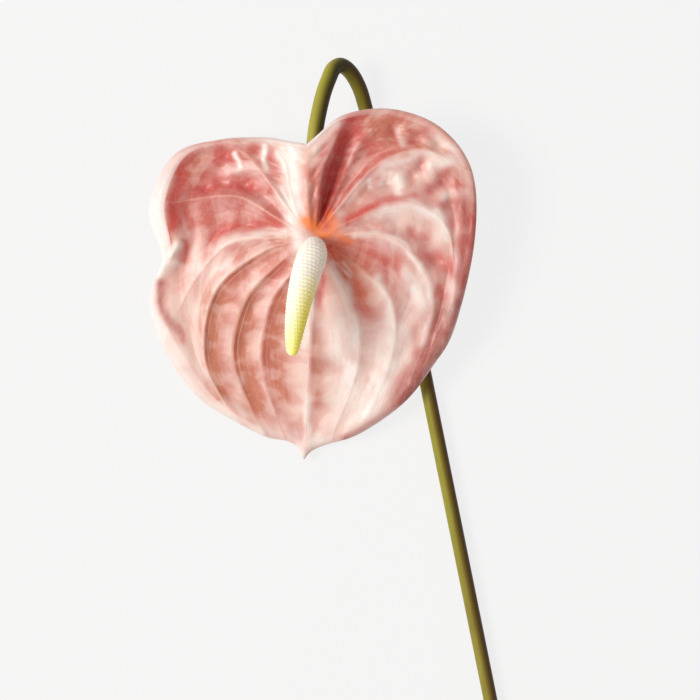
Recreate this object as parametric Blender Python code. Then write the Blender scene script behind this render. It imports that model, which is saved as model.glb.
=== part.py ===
"""Cut anthurium stem, laid on a level surface with the face of its flower up.

Three pieces: the long flower stalk with its crook and cut end, the heart-shaped spathe with its
folded veins and rolled lip, and the spadix set with florets. The stalk's straight run and a flat
spot on the spathe's left lip lie on z = 0. Run with: blender --background --python part.py
"""

import math

import bpy
import numpy as np

# Driving dimensions, in millimetres. Places are measured from the seat, the point where stalk,
# spathe and spadix meet: x to the right and y up in the flower's face view, z above the surface.
MM = 0.001
SEAT = (-19.9, 142.6)
SEAT_HEIGHT = 34.0
SEAT_RADIUS = 4.6
GAP = 0.3
TOUCH_DOWN = 0.3

# Stalk: radius at the cut end and at the seat, the number of its sides, and the slant of the cut.
CUT_RADIUS = 3.4
NECK_RADIUS = 3.75
STEM_SIDES = 18
CUT_SLANT = 0.2
STEM_LYING = ((117, -374), (104, -310), (87.2, -225.7), (58.2, -82.2), (52.3, -52.6), (42.4, -3))
STEM_CROOK = (
    (32.8, 38, 3.9),
    (28.6, 54, 4.6),
    (25.3, 67, 6.4),
    (22.4, 76, 9.2),
    (18.2, 83, 13),
    (13.6, 86, 17),
    (9.9, 84, 20.8),
    (7.6, 79, 23.6),
    (4.6, 70, 26.2),
    (1.8, 57, 27.6),
    (0.4, 46, 27.4),
    (-0.4, 32, 26.4),
    (-0.3, 16, 25.6),
    (0, 6, 26.2),
    (0, 1.2, 28.6),
)

# Spathe: four places along each vein, from beside the seat out to the margin, then the width of
# the rolled lip at its end and how far the sheet rises to that lip. Round from the notch, leftwards.
THICKNESS = 1.1
SPATHE_VEINS = (
    ("notch", ((-2, 12, 37.5), (-3, 25, 39.5), (-3, 37, 39.5), (-3, 47, 38.5)), 2.0, 0.0),
    ("left 1", ((-8, 14, 36), (-12, 28, 35), (-14, 38, 34.5), (-24, 49, 33)), 2.5, 0.5),
    ("left 2", ((-12, 15, 34.5), (-22, 29, 32.5), (-32, 41, 32), (-45, 48, 31.5)), 3.0, 1.0),
    ("left 2b", ((-16, 14, 33.5), (-31, 27, 31), (-49, 36, 29), (-67, 41, 28)), 5.0, 3.0),
    ("left 3", ((-18, 11, 33), (-36, 21, 30), (-58, 20, 26.5), (-79, 16, 25.5)), 7.0, 4.5),
    ("left 3b", ((-17, 6, 32.5), (-35, 9, 30), (-55, 4, 25.5), (-73, -8, 22)), 4.0, 3.0),
    ("left 3c", ((-18, 4, 32), (-39, 5, 29), (-58, -8, 22.5), (-80, -27, 14)), 3.5, 2.0),
    ("left 4", ((-18, 1, 31.5), (-41, -2, 27.5), (-59, -21, 19.5), (-74, -51, 9.5)), 5.5, 3.0),
    ("left 4b", ((-21, -1, 31), (-45, -12, 25.5), (-58, -39, 15.5), (-58, -75, 5.8)), 7.5, 3.0),
    ("left 5", ((-23, -5, 30.5), (-47, -24, 23.5), (-53, -57, 15), (-38, -88, 8)), 5.0, 1.5),
    ("left 6", ((-18, -12, 29.5), (-34, -31, 23), (-39, -60, 14.5), (-24, -95, 7.5)), 3.0, 1.0),
    ("left 7", ((-9, -14, 29.5), (-21, -32, 23), (-25, -61, 15), (-14, -97, 7)), 2.5, 0.5),
    ("middle", ((0, -15, 29.5), (-1, -39, 24), (-2, -69, 15.5), (-5, -100, 6.5)), 2.0, 0.0),
    ("right 7", ((9, -13, 29.5), (21, -37, 25), (21, -63, 17.5), (8, -98, 9)), 3.0, 0.5),
    ("right 6", ((17, -9, 31), (37, -28, 27.5), (38, -56, 20.5), (23, -93, 12)), 4.0, 1.0),
    ("right 5", ((22, 3, 33), (44, -3, 32), (58, -32, 26), (44, -78, 17)), 5.5, 0.8),
    ("right 4b", ((21, 7, 34), (44, 7, 33.5), (64, -14, 29), (58, -60, 21)), 8.0, 1.2),
    ("right 4", ((18, 9, 34.5), (43, 18, 34.5), (65, 4, 32), (68, -42, 26)), 8.0, 1.2),
    ("right 3b", ((15, 13, 35), (40, 30, 35), (63, 25, 35), (77, -2, 31)), 3.0, 0.8),
    ("right 3", ((12, 15, 34.5), (31, 36, 34), (53, 43, 36), (76, 32, 35)), 2.5, 0.5),
    ("right 2b", ((10, 15, 33.5), (23, 34, 32), (38, 49, 35.5), (61, 53, 37)), 2.5, 0.5),
    ("right 2", ((7, 14, 33), (16, 33, 31), (24, 48, 34.5), (38, 62, 37)), 2.5, 0.0),
    ("right 1", ((2, 13, 36.5), (4, 31, 39), (10, 46, 40), (15, 59, 39.5)), 2.0, 0.0),
)

# The veins that stand as sharp crests, by their number above, with the depth of the trough that
# follows each and where that trough is deepest between this crest and the next.
CRESTS = (
    (0, 0.8, 0.5),
    (1, 1.5, 0.5),
    (2, 2.2, 0.5),
    (4, 2.6, 0.5),
    (7, 0.9, 0.5),
    (9, 2.0, 0.4),
    (10, 2.0, 0.4),
    (11, 1.8, 0.38),
    (12, 1.6, 0.33),
    (13, 1.3, 0.4),
    (14, 1.3, 0.42),
    (15, 1.7, 0.45),
    (17, 2.6, 0.5),
    (19, 2.2, 0.5),
    (21, 7.0, 0.6),
    (22, 1.5, 0.5),
)

# Pits pressed into the lobes between the veins: place, radius and depth.
PITS = (
    (49, 49, 4.5, 1.8),
    (40, 53, 4.0, 1.5),
    (60, 45, 4.5, 1.8),
    (52, 37, 5.0, 2.0),
    (61, 29, 5.5, 2.2),
    (47, 30, 4.5, 1.8),
    (36, 27, 4.0, 1.5),
    (27, 27, 3.5, 1.2),
    (66, 17, 5.0, 1.8),
    (60, -10, 5.5, 2.2),
    (48, 4, 5.0, 1.5),
    (62, -24, 5.0, 1.5),
    (-42, 42, 4.0, 1.2),
    (-27, 41, 4.0, 1.2),
    (-44, 28, 4.5, 1.5),
    (-32, 26, 4.0, 1.2),
    (-52, 25, 4.5, 1.2),
)
TROUGH_ROUNDNESS = 1.25
QUILT_HEIGHT = 0.55
QUILT_WAVES = 6
SMOOTH_TROUGH = 0.8
LIP_TURN = math.radians(128)
LIP_RISE_LENGTH = 12.0
TIP_LENGTH = 6.5
TIP_SPREADS = (0.14, 0.3)
NOTCH_LENGTH = 2.0
NOTCH_SPREAD = 0.18
SPATHE_SEGMENTS = 4
SPATHE_RINGS = 26
LIP_RINGS = 6

# Spadix: its axis from the seat to the tip, its radius along it, and the rows of florets.
SPADIX_AXIS = (
    (0.9, -2.4, 0.9),
    (0.9, -3.0, 3.8),
    (-0.1, -8.0, 9.6),
    (-2.7, -16.5, 15.2),
    (-5.1, -26, 19.6),
    (-7.1, -36.5, 22.6),
    (-8.4, -46, 24.2),
    (-9.0, -52.6, 25),
)
SPADIX_RADII = (3.2, 5.2, 7.2, 7.1, 6.4, 5.5, 4.3, 3.1)
SPADIX_COLUMNS = 40
SPADIX_ROWS = 35
SPADIX_TWIST = 0.5
FLORET_HEIGHT = 0.6
DOME_ROWS = 3

RANDOM_SEED = 7


def smoothstep(low, high, value):
    """0 below low and 1 above high, with a smooth rise between them."""
    x = np.clip((value - low) / (high - low), 0.0, 1.0)
    return x * x * (3.0 - 2.0 * x)


def smooth_through(points, at, closed=False):
    """A smooth curve through points of any shape, at places counted in points along it."""
    points = np.asarray(points, float)
    count = len(points)
    at = np.asarray(at, float)
    if closed:
        start = np.floor(at).astype(int)
        picks = [points[(start + offset) % count] for offset in (-1, 0, 1, 2)]
    else:
        start = np.clip(np.floor(at).astype(int), 0, count - 2)
        before = 2 * points[0] - points[1]
        after = 2 * points[-1] - points[-2]
        padded = np.concatenate([[before], points, [after]])
        picks = [padded[start + offset] for offset in (0, 1, 2, 3)]
    x = (at - start).reshape((-1,) + (1,) * (points.ndim - 1))
    a, b, c, d = picks
    return b + 0.5 * x * (c - a + x * (2 * a - 5 * b + 4 * c - d + x * (3 * (b - c) + d - a)))


def even_places(points, shares):
    """Places counted in points along a smooth curve, at given shares of its length."""
    fine = np.linspace(0, len(points) - 1, 40 * len(points))
    steps = np.linalg.norm(np.diff(smooth_through(points, fine), axis=0), axis=1)
    walked = np.concatenate([[0.0], np.cumsum(steps)])
    return np.interp(shares * walked[-1], walked, fine)


def material(name, colour, roughness):
    made = bpy.data.materials.new(name)
    made.use_nodes = True
    shader = made.node_tree.nodes["Principled BSDF"]
    shader.inputs["Base Color"].default_value = (*colour, 1.0)
    shader.inputs["Roughness"].default_value = roughness
    return made


def add_solid(name, points, faces, finish):
    """One closed mesh from points in millimetres, measured from the seat's place on the surface."""
    shifted = (np.asarray(points) + (*SEAT, 0.0)) * MM
    mesh = bpy.data.meshes.new(name)
    mesh.from_pydata(shifted.tolist(), [], faces)
    mesh.materials.append(finish)
    mesh.update()
    solid = bpy.data.objects.new(name, mesh)
    bpy.context.scene.collection.objects.link(solid)
    return solid


def tube_frames(path):
    """Two crosswise directions at each point of a path, carried along it without twisting."""
    along = np.gradient(path, axis=0)
    along /= np.linalg.norm(along, axis=1)[:, None]
    side = np.cross(along[0], (0.0, 0.0, 1.0))
    sides = []
    for direction in along:
        side = side - direction * side.dot(direction)
        side /= np.linalg.norm(side)
        sides.append(side)
    sides = np.array(sides)
    return along, sides, np.cross(sides, along)


def grid_faces(rows, columns):
    """Triangles of a grid that closes round its columns, facing out when the rows run forward."""
    faces = []
    for row in range(rows - 1):
        for column in range(columns):
            turn = (column + 1) % columns
            a = row * columns + column
            b = row * columns + turn
            c = a + columns
            d = b + columns
            faces.append((a, b, d))
            faces.append((a, d, c))
    return faces


def cap_faces(first, columns, centre, forward):
    """A fan that closes one ring of a grid to a centre point."""
    faces = []
    for column in range(columns):
        a = first + column
        b = first + (column + 1) % columns
        faces.append((a, b, centre) if forward else (b, a, centre))
    return faces


# The stalk
def stem_path():
    """The stalk's middle line and radius, from the cut end to just under the spathe."""
    apothem = math.cos(math.pi / STEM_SIDES)
    places = []
    for x, y in STEM_LYING:
        places.append((x, y, CUT_RADIUS * apothem))
    places.extend(STEM_CROOK)
    top = SEAT_HEIGHT - THICKNESS / 2 - GAP
    places.append((0, 0, top))
    lying = np.arange(0, len(STEM_LYING) - 1, 0.5)
    bent = np.arange(len(STEM_LYING) - 1, len(places) - 1, 1 / 3)
    at = np.concatenate([lying, bent, [len(places) - 1]])
    path = smooth_through(places, at)
    path[-1] = (0, 0, top)
    rise = smoothstep(len(STEM_LYING), len(STEM_LYING) + 5, at)
    radius = CUT_RADIUS + (NECK_RADIUS - CUT_RADIUS) * rise
    return path, radius


def build_stem():
    path, radius = stem_path()
    along, across, up = tube_frames(path)
    along[-1] = (0, 0, 1)
    count = len(path)
    points = []
    for row in range(count):
        for side in range(STEM_SIDES):
            angle = 2 * math.pi * (side + 0.5) / STEM_SIDES
            spoke = math.cos(angle) * up[row] + math.sin(angle) * across[row]
            point = path[row] + radius[row] * spoke
            if row == 0:
                point = point - along[0] * CUT_SLANT * radius[0] * math.cos(angle)
            if row == count - 1:
                point[2] = path[-1][2]
            if row < 2 * len(STEM_LYING) and point[2] < TOUCH_DOWN:
                point[2] = 0.0
            points.append(point)
    points.append(path[0])
    points.append(path[-1])
    last = (count - 1) * STEM_SIDES
    faces = grid_faces(count, STEM_SIDES)
    faces += cap_faces(0, STEM_SIDES, count * STEM_SIDES, False)
    faces += cap_faces(last, STEM_SIDES, count * STEM_SIDES + 1, True)
    finish = material("stem_olive", (0.30, 0.29, 0.07), 0.45)
    return add_solid("stem", points, faces, finish)


# The spathe
def vein_curves(column_at):
    """For each column, five places from the seat's ring out to the margin, and the lip's sizes."""
    curves = []
    lips = []
    for _, places, width, rise in SPATHE_VEINS:
        heading = math.atan2(places[0][1], places[0][0])
        ring = (SEAT_RADIUS * math.cos(heading), SEAT_RADIUS * math.sin(heading), SEAT_HEIGHT)
        curves.append((ring,) + places)
        lips.append((width, rise))
    return (
        smooth_through(curves, column_at, closed=True),
        smooth_through(lips, column_at, closed=True),
    )


def trough_depth(column_at, out):
    """How far the sheet sinks between its crests, at each column and each place out along it."""
    column_at = column_at % len(SPATHE_VEINS)
    depth = np.zeros((len(column_at), out.shape[1]))
    starts = [crest[0] for crest in CRESTS] + [len(SPATHE_VEINS)]
    rng = np.random.default_rng(RANDOM_SEED)
    for number, (start, deepest, middle) in enumerate(CRESTS):
        end = starts[number + 1]
        inside = (column_at >= start) & (column_at < end)
        across = (column_at[inside] - start) / (end - start)
        bent = across ** (math.log(0.5) / math.log(middle))
        hollow = np.sin(math.pi * bent) ** TROUGH_ROUNDNESS
        place = out[inside]
        envelope = smoothstep(0.03, 0.42, place) * (1 - 0.85 * smoothstep(0.62, 0.97, place))
        phase = rng.uniform(0, 2 * math.pi)
        wave = np.cos(2 * math.pi * QUILT_WAVES * place + phase)
        quilt = QUILT_HEIGHT * min(1.0, deepest - SMOOTH_TROUGH) * wave * smoothstep(0.15, 0.4, place)
        depth[inside] = hollow[:, None] * (deepest * envelope + quilt)
    return depth


def sheet_middle(column_at, ring_at):
    """The spathe's middle surface: columns follow its veins, and places over 1 turn the lip."""
    curves, lips = vein_curves(column_at)
    columns = len(column_at)
    rings = len(ring_at)
    width = lips[:, :1]
    rise = lips[:, 1:]
    length = np.linalg.norm(np.diff(curves[:, :, :2], axis=1), axis=2).sum(axis=1)[:, None]
    crest = 1 - width / length
    flat = np.minimum(ring_at, 1.0)[None, :]
    turn = np.clip(ring_at - 1.0, 0.0, 1.0)[None, :] * LIP_TURN
    reach = np.where(turn < math.pi / 2, np.sin(turn), 1 - 0.5 * (1 - np.sin(turn)))
    out = crest * flat + (1 - crest) * reach
    points = np.empty((columns, rings, 3))
    for column in range(columns):
        points[column] = smooth_through(curves[column], 4 * out[column])
    climb = smoothstep(crest - LIP_RISE_LENGTH / length, crest, out)
    points[:, :, 2] += rise * climb - 0.8 * width * (1 - np.cos(turn))
    points[:, :, 2] -= trough_depth(column_at, out)
    from_middle = column_at[:, None] - 12
    spread = np.where(from_middle < 0, *TIP_SPREADS)
    tip = TIP_LENGTH * np.exp(-np.abs(from_middle) / spread) * smoothstep(0.86, 1.0, out)
    points[:, :, 1] -= tip
    from_notch = np.minimum(column_at, len(SPATHE_VEINS) - column_at)[:, None]
    notch = NOTCH_LENGTH * np.exp(-from_notch / NOTCH_SPREAD) * smoothstep(0.8, 1.0, out)
    points[:, :, 1] -= notch
    for x, y, radius, depth in PITS:
        apart = (points[:, :, 0] - x) ** 2 + (points[:, :, 1] - y) ** 2
        points[:, :, 2] -= depth * np.exp(-apart / (0.5 * radius**2)) * (turn == 0)
    return points


def sheet_normals(points):
    """Upward normals of a grid of (column, ring) points that closes round its columns."""
    outward = np.gradient(points, axis=1)
    around = np.roll(points, -1, axis=0) - np.roll(points, 1, axis=0)
    normals = np.cross(outward, around)
    normals /= np.linalg.norm(normals, axis=2)[:, :, None]
    normals[:, 0] = (0, 0, 1)
    return normals


def build_spathe():
    columns = SPATHE_SEGMENTS * len(SPATHE_VEINS)
    column_at = np.arange(columns) / SPATHE_SEGMENTS
    ring_at = np.concatenate(
        [np.linspace(0, 1, SPATHE_RINGS), 1 + np.arange(1, LIP_RINGS + 1) / LIP_RINGS]
    )
    rings = len(ring_at)
    middle = sheet_middle(column_at, ring_at)
    normals = sheet_normals(middle)
    front = middle + normals * THICKNESS / 2
    back = middle - normals * THICKNESS / 2
    sides = []
    for sheet in (front, back):
        sheet = sheet.transpose(1, 0, 2).reshape(-1, 3)
        sheet[sheet[:, 2] < TOUCH_DOWN, 2] = 0.0
        sides.append(sheet)
    seats = [
        (0, 0, SEAT_HEIGHT + THICKNESS / 2),
        (0, 0, SEAT_HEIGHT - THICKNESS / 2),
    ]
    points = np.concatenate(sides + [seats])
    each = rings * columns
    faces = []
    for a, b, c in grid_faces(rings, columns):
        faces.append((b, a, c))
        faces.append((a + each, b + each, c + each))
    faces += cap_faces(0, columns, 2 * each, True)
    faces += cap_faces(each, columns, 2 * each + 1, False)
    edge = (rings - 1) * columns
    for column in range(columns):
        a = edge + column
        b = edge + (column + 1) % columns
        faces.append((b, a, a + each))
        faces.append((b, a + each, b + each))
    finish = material("spathe_rose", (0.80, 0.52, 0.46), 0.38)
    return add_solid("spathe", points, faces, finish)


# The spadix
def build_spadix():
    axis = np.array(SPADIX_AXIS, float) + (0, 0, SEAT_HEIGHT)
    axis[0][2] = SEAT_HEIGHT + THICKNESS / 2 + GAP
    at = even_places(axis, np.linspace(0, 1, SPADIX_ROWS))
    path = smooth_through(axis, at)
    radius = smooth_through(np.array(SPADIX_RADII)[:, None], at)[:, 0]
    along, across, up = tube_frames(path)
    points = []
    for row in range(SPADIX_ROWS):
        for column in range(SPADIX_COLUMNS):
            angle = 2 * math.pi * (column + SPADIX_TWIST * row) / SPADIX_COLUMNS
            spoke = math.cos(angle) * up[row] + math.sin(angle) * across[row]
            raised = FLORET_HEIGHT if (row + column) % 2 and row > 1 else 0.0
            point = path[row] + (radius[row] - FLORET_HEIGHT + raised) * spoke
            point[2] = axis[0][2] if row == 0 else max(point[2], axis[0][2] + 0.01 * row)
            points.append(point)
    tip_radius = radius[-1] - FLORET_HEIGHT
    for row in range(1, DOME_ROWS):
        lift = 0.5 * math.pi * row / DOME_ROWS
        for column in range(SPADIX_COLUMNS):
            turned = column + SPADIX_TWIST * (SPADIX_ROWS - 1 + row)
            angle = 2 * math.pi * turned / SPADIX_COLUMNS
            spoke = math.cos(angle) * up[-1] + math.sin(angle) * across[-1]
            raised = 0.5 * FLORET_HEIGHT if (row + column) % 2 else 0.0
            out = (tip_radius + raised) * (math.cos(lift) * spoke + math.sin(lift) * along[-1])
            points.append(path[-1] + out)
    rows = SPADIX_ROWS + DOME_ROWS - 1
    points.append(path[0])
    points.append(path[-1] + along[-1] * tip_radius)
    last = (rows - 1) * SPADIX_COLUMNS
    faces = grid_faces(rows, SPADIX_COLUMNS)
    faces += cap_faces(0, SPADIX_COLUMNS, rows * SPADIX_COLUMNS, False)
    faces += cap_faces(last, SPADIX_COLUMNS, rows * SPADIX_COLUMNS + 1, True)
    finish = material("spadix_lime", (0.72, 0.72, 0.30), 0.55)
    return add_solid("spadix", points, faces, finish)


def main():
    for existing in list(bpy.data.objects):
        bpy.data.objects.remove(existing, do_unlink=True)
    build_stem()
    build_spathe()
    build_spadix()


main()
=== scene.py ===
"""Looks of the cut anthurium stem: fine spathe, spadix and stalk, their materials, and a soft studio."""

import math

import bpy
import numpy as np
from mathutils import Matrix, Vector


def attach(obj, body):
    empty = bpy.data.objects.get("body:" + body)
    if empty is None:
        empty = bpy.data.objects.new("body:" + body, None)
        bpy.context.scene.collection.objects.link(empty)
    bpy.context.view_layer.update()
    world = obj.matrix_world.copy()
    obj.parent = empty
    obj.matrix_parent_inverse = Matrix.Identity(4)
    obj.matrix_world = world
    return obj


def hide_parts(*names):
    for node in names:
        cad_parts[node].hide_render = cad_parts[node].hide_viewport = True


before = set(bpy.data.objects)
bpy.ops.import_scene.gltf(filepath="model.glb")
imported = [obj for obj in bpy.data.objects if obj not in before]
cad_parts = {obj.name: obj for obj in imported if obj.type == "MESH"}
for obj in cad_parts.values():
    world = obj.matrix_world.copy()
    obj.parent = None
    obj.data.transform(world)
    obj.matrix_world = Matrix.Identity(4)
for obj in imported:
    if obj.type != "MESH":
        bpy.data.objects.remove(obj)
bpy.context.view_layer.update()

# The form's own numbers, in millimetres, as the solids have them. Places are measured from the
# seat, where stalk, spathe and spadix meet: x right and y up in the flower's face, z above the floor.
MM = 0.001
SEAT = (-19.9, 142.6)
SEAT_HEIGHT = 34.0
SEAT_RADIUS = 4.6
GAP = 0.3

CUT_RADIUS = 3.4
NECK_RADIUS = 3.75
CUT_SLANT = 0.2
THICKENING_PLACES = 5
STEM_LYING = ((117, -374), (104, -310), (87.2, -225.7), (58.2, -82.2), (52.3, -52.6), (42.4, -3))
STEM_CROOK = (
    (32.8, 38, 3.9),
    (28.6, 54, 4.6),
    (25.3, 67, 6.4),
    (22.4, 76, 9.2),
    (18.2, 83, 13),
    (13.6, 86, 17),
    (9.9, 84, 20.8),
    (7.6, 79, 23.6),
    (4.6, 70, 26.2),
    (1.8, 57, 27.6),
    (0.4, 46, 27.4),
    (-0.4, 32, 26.4),
    (-0.3, 16, 25.6),
    (0, 6, 26.2),
    (0, 1.2, 28.6),
)

# Spathe: four places along each vein from beside the seat to the margin, the width of the rolled
# lip there, and how far the sheet rises to that lip. Round from the notch, leftwards.
THICKNESS = 1.1
RIM_THICKNESS = 0.8
THINNING = (0.5, 1.0)
SPATHE_VEINS = (
    ("notch", ((-2, 12, 37.5), (-3, 25, 39.5), (-3, 37, 39.5), (-3, 47, 38.5)), 2.0, 0.0),
    ("left 1", ((-8, 14, 36), (-12, 28, 35), (-14, 38, 34.5), (-24, 49, 33)), 2.5, 0.5),
    ("left 2", ((-12, 15, 34.5), (-22, 29, 32.5), (-32, 41, 32), (-45, 48, 31.5)), 3.0, 1.0),
    ("left 2b", ((-16, 14, 33.5), (-31, 27, 31), (-49, 36, 29), (-67, 41, 28)), 5.0, 3.0),
    ("left 3", ((-18, 11, 33), (-36, 21, 30), (-58, 20, 26.5), (-79, 16, 25.5)), 7.0, 4.5),
    ("left 3b", ((-17, 6, 32.5), (-35, 9, 30), (-55, 4, 25.5), (-73, -8, 22)), 4.0, 3.0),
    ("left 3c", ((-18, 4, 32), (-39, 5, 29), (-58, -8, 22.5), (-80, -27, 14)), 3.5, 2.0),
    ("left 4", ((-18, 1, 31.5), (-41, -2, 27.5), (-59, -21, 19.5), (-74, -51, 9.5)), 5.5, 3.0),
    ("left 4b", ((-21, -1, 31), (-45, -12, 25.5), (-58, -39, 15.5), (-58, -75, 5.8)), 7.5, 3.0),
    ("left 5", ((-23, -5, 30.5), (-47, -24, 23.5), (-53, -57, 15), (-38, -88, 8)), 5.0, 1.5),
    ("left 6", ((-18, -12, 29.5), (-34, -31, 23), (-39, -60, 14.5), (-24, -95, 7.5)), 3.0, 1.0),
    ("left 7", ((-9, -14, 29.5), (-21, -32, 23), (-25, -61, 15), (-14, -97, 7)), 2.5, 0.5),
    ("middle", ((0, -15, 29.5), (-1, -39, 24), (-2, -69, 15.5), (-5, -100, 6.5)), 2.0, 0.0),
    ("right 7", ((9, -13, 29.5), (21, -37, 25), (21, -63, 17.5), (8, -98, 9)), 3.0, 0.5),
    ("right 6", ((17, -9, 31), (37, -28, 27.5), (38, -56, 20.5), (23, -93, 12)), 4.0, 1.0),
    ("right 5", ((22, 3, 33), (44, -3, 32), (58, -32, 26), (44, -78, 17)), 5.5, 0.8),
    ("right 4b", ((21, 7, 34), (44, 7, 33.5), (64, -14, 29), (58, -60, 21)), 8.0, 1.2),
    ("right 4", ((18, 9, 34.5), (43, 18, 34.5), (65, 4, 32), (68, -42, 26)), 8.0, 1.2),
    ("right 3b", ((15, 13, 35), (40, 30, 35), (63, 25, 35), (77, -2, 31)), 3.0, 0.8),
    ("right 3", ((12, 15, 34.5), (31, 36, 34), (53, 43, 36), (76, 32, 35)), 2.5, 0.5),
    ("right 2b", ((10, 15, 33.5), (23, 34, 32), (38, 49, 35.5), (61, 53, 37)), 2.5, 0.5),
    ("right 2", ((7, 14, 33), (16, 33, 31), (24, 48, 34.5), (38, 62, 37)), 2.5, 0.0),
    ("right 1", ((2, 13, 36.5), (4, 31, 39), (10, 46, 40), (15, 59, 39.5)), 2.0, 0.0),
)

# Crests: the place of its vein in the list, how deep the trough past it is, and where across the
# trough it is deepest.
CRESTS = (
    (0, 0.8, 0.5),
    (1, 1.5, 0.5),
    (2, 2.2, 0.5),
    (4, 2.6, 0.5),
    (7, 0.9, 0.5),
    (9, 2.0, 0.4),
    (10, 2.0, 0.4),
    (11, 1.8, 0.38),
    (12, 1.6, 0.33),
    (13, 1.3, 0.4),
    (14, 1.3, 0.42),
    (15, 1.7, 0.45),
    (17, 2.6, 0.5),
    (19, 2.2, 0.5),
    (21, 7.0, 0.6),
    (22, 1.5, 0.5),
)

# Pits between the veins: place, radius and depth.
PITS = (
    (49, 49, 4.5, 1.8),
    (40, 53, 4.0, 1.5),
    (60, 45, 4.5, 1.8),
    (52, 37, 5.0, 2.0),
    (61, 29, 5.5, 2.2),
    (47, 30, 4.5, 1.8),
    (36, 27, 4.0, 1.5),
    (27, 27, 3.5, 1.2),
    (66, 17, 5.0, 1.8),
    (60, -10, 5.5, 2.2),
    (48, 4, 5.0, 1.5),
    (62, -24, 5.0, 1.5),
    (-42, 42, 4.0, 1.2),
    (-27, 41, 4.0, 1.2),
    (-44, 28, 4.5, 1.5),
    (-32, 26, 4.0, 1.2),
    (-52, 25, 4.5, 1.2),
)

# Troughs, their quilting, the lip, the tip and the notch. Starts and ends are shares of the way
# from the seat to the margin.
TROUGH_ROUNDNESS = 1.25
TROUGH_START = (0.03, 0.42)
TROUGH_END = (0.62, 0.97)
TROUGH_LOSS = 0.85
QUILT_START = (0.15, 0.4)
QUILT_HEIGHT = 0.55
QUILT_WAVES = 6
SMOOTH_TROUGH = 0.8
LIP_TURN = math.radians(128)
LIP_TUCK = 0.5
LIP_SINK = 0.8
LIP_RISE_LENGTH = 12.0
LIP_BLEND = 0.1
MIDDLE_VEIN = 12
TIP_LENGTH = 6.5
TIP_SPREADS = (0.14, 0.3)
TIP_START = 0.86
NOTCH_LENGTH = 2.0
NOTCH_SPREAD = 0.18
NOTCH_START = 0.8
PIT_SOFTNESS = 0.5
RANDOM_SEED = 7

# Fine divisions of the three pieces, and the fine relief that only these pieces carry.
STEM_SIDES = 56
LYING_STEP = 0.1
BENT_STEP = 1 / 12
SPATHE_SEGMENTS = 20
FRONT_RINGS = (100, 20)
BACK_RINGS = (40, 10)
RIB_HEIGHT = 0.12
RIB_WIDTH = 0.7
RIB_START = (0.08, 0.3)
RIB_END = (0.85, 0.97)
RIPPLE_HEIGHT = 0.07
RIPPLE_START = 0.8

# Waves round the stalk: height as a share of the radius, how many, and how far they are turned.
RIDGES = ((0.006, 9, 0), (0.004, 4, 1))

# Waves round the spathe's margin: share of the ripple's height, how many, and how far turned.
RIPPLES = ((1.0, 31, 0), (0.7, 53, 1))

# The cut end: the pith's share of the radius, how deep its edge and its middle lie, and how far
# each is coloured as skin.
PITH_SHARE = 0.62
PITH_DEPTHS = (0.25, 0.45)
PITH_TINTS = (0.45, 0.1)

# Folds and creases too small for the solids: width, height, and a line of places.
CREASES = (
    (1.3, 1.2, (-68.5, -6.5), (-64.3, -0.5)),
    (1.9, -1.4, (-62, -3), (-62, -9)),
    (0.9, 1.0, (9.5, -3.5), (17.5, -17.5)),
    (0.8, 0.8, (13.5, -4.5), (19.5, -14.5)),
    (1.5, -1.2, (7, -3), (14.5, -17)),
)

# How much painted light brightens the rolled lip at each vein, most on the left lobe, whose lip faces the
# light. The others have none of it.
LIP_PAINTED_LIGHT = {
    "notch": 0.6,
    "left 1": 0.3,
    "left 2": 0.1,
    "left 2b": 0.6,
    "left 3": 1.0,
    "left 3b": 1.0,
    "left 3c": 0.9,
    "left 4": 0.7,
    "left 4b": 0.6,
    "left 5": 0.4,
    "left 6": 0.3,
    "left 7": 0.2,
    "middle": 0.4,
    "right 7": 0.2,
    "right 6": 0.1,
    "right 2": 0.1,
    "right 1": 0.4,
}

# How much the pale and deep strokes raise or sink the skin, how far the strokes' edges wander,
# and how strong the patches are that no stroke makes.
RELIEF_OF_PALE = 0.45
RELIEF_OF_DEEP = 0.5
WANDER = 0.5
PATCH_STRENGTH = 0.2
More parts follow.
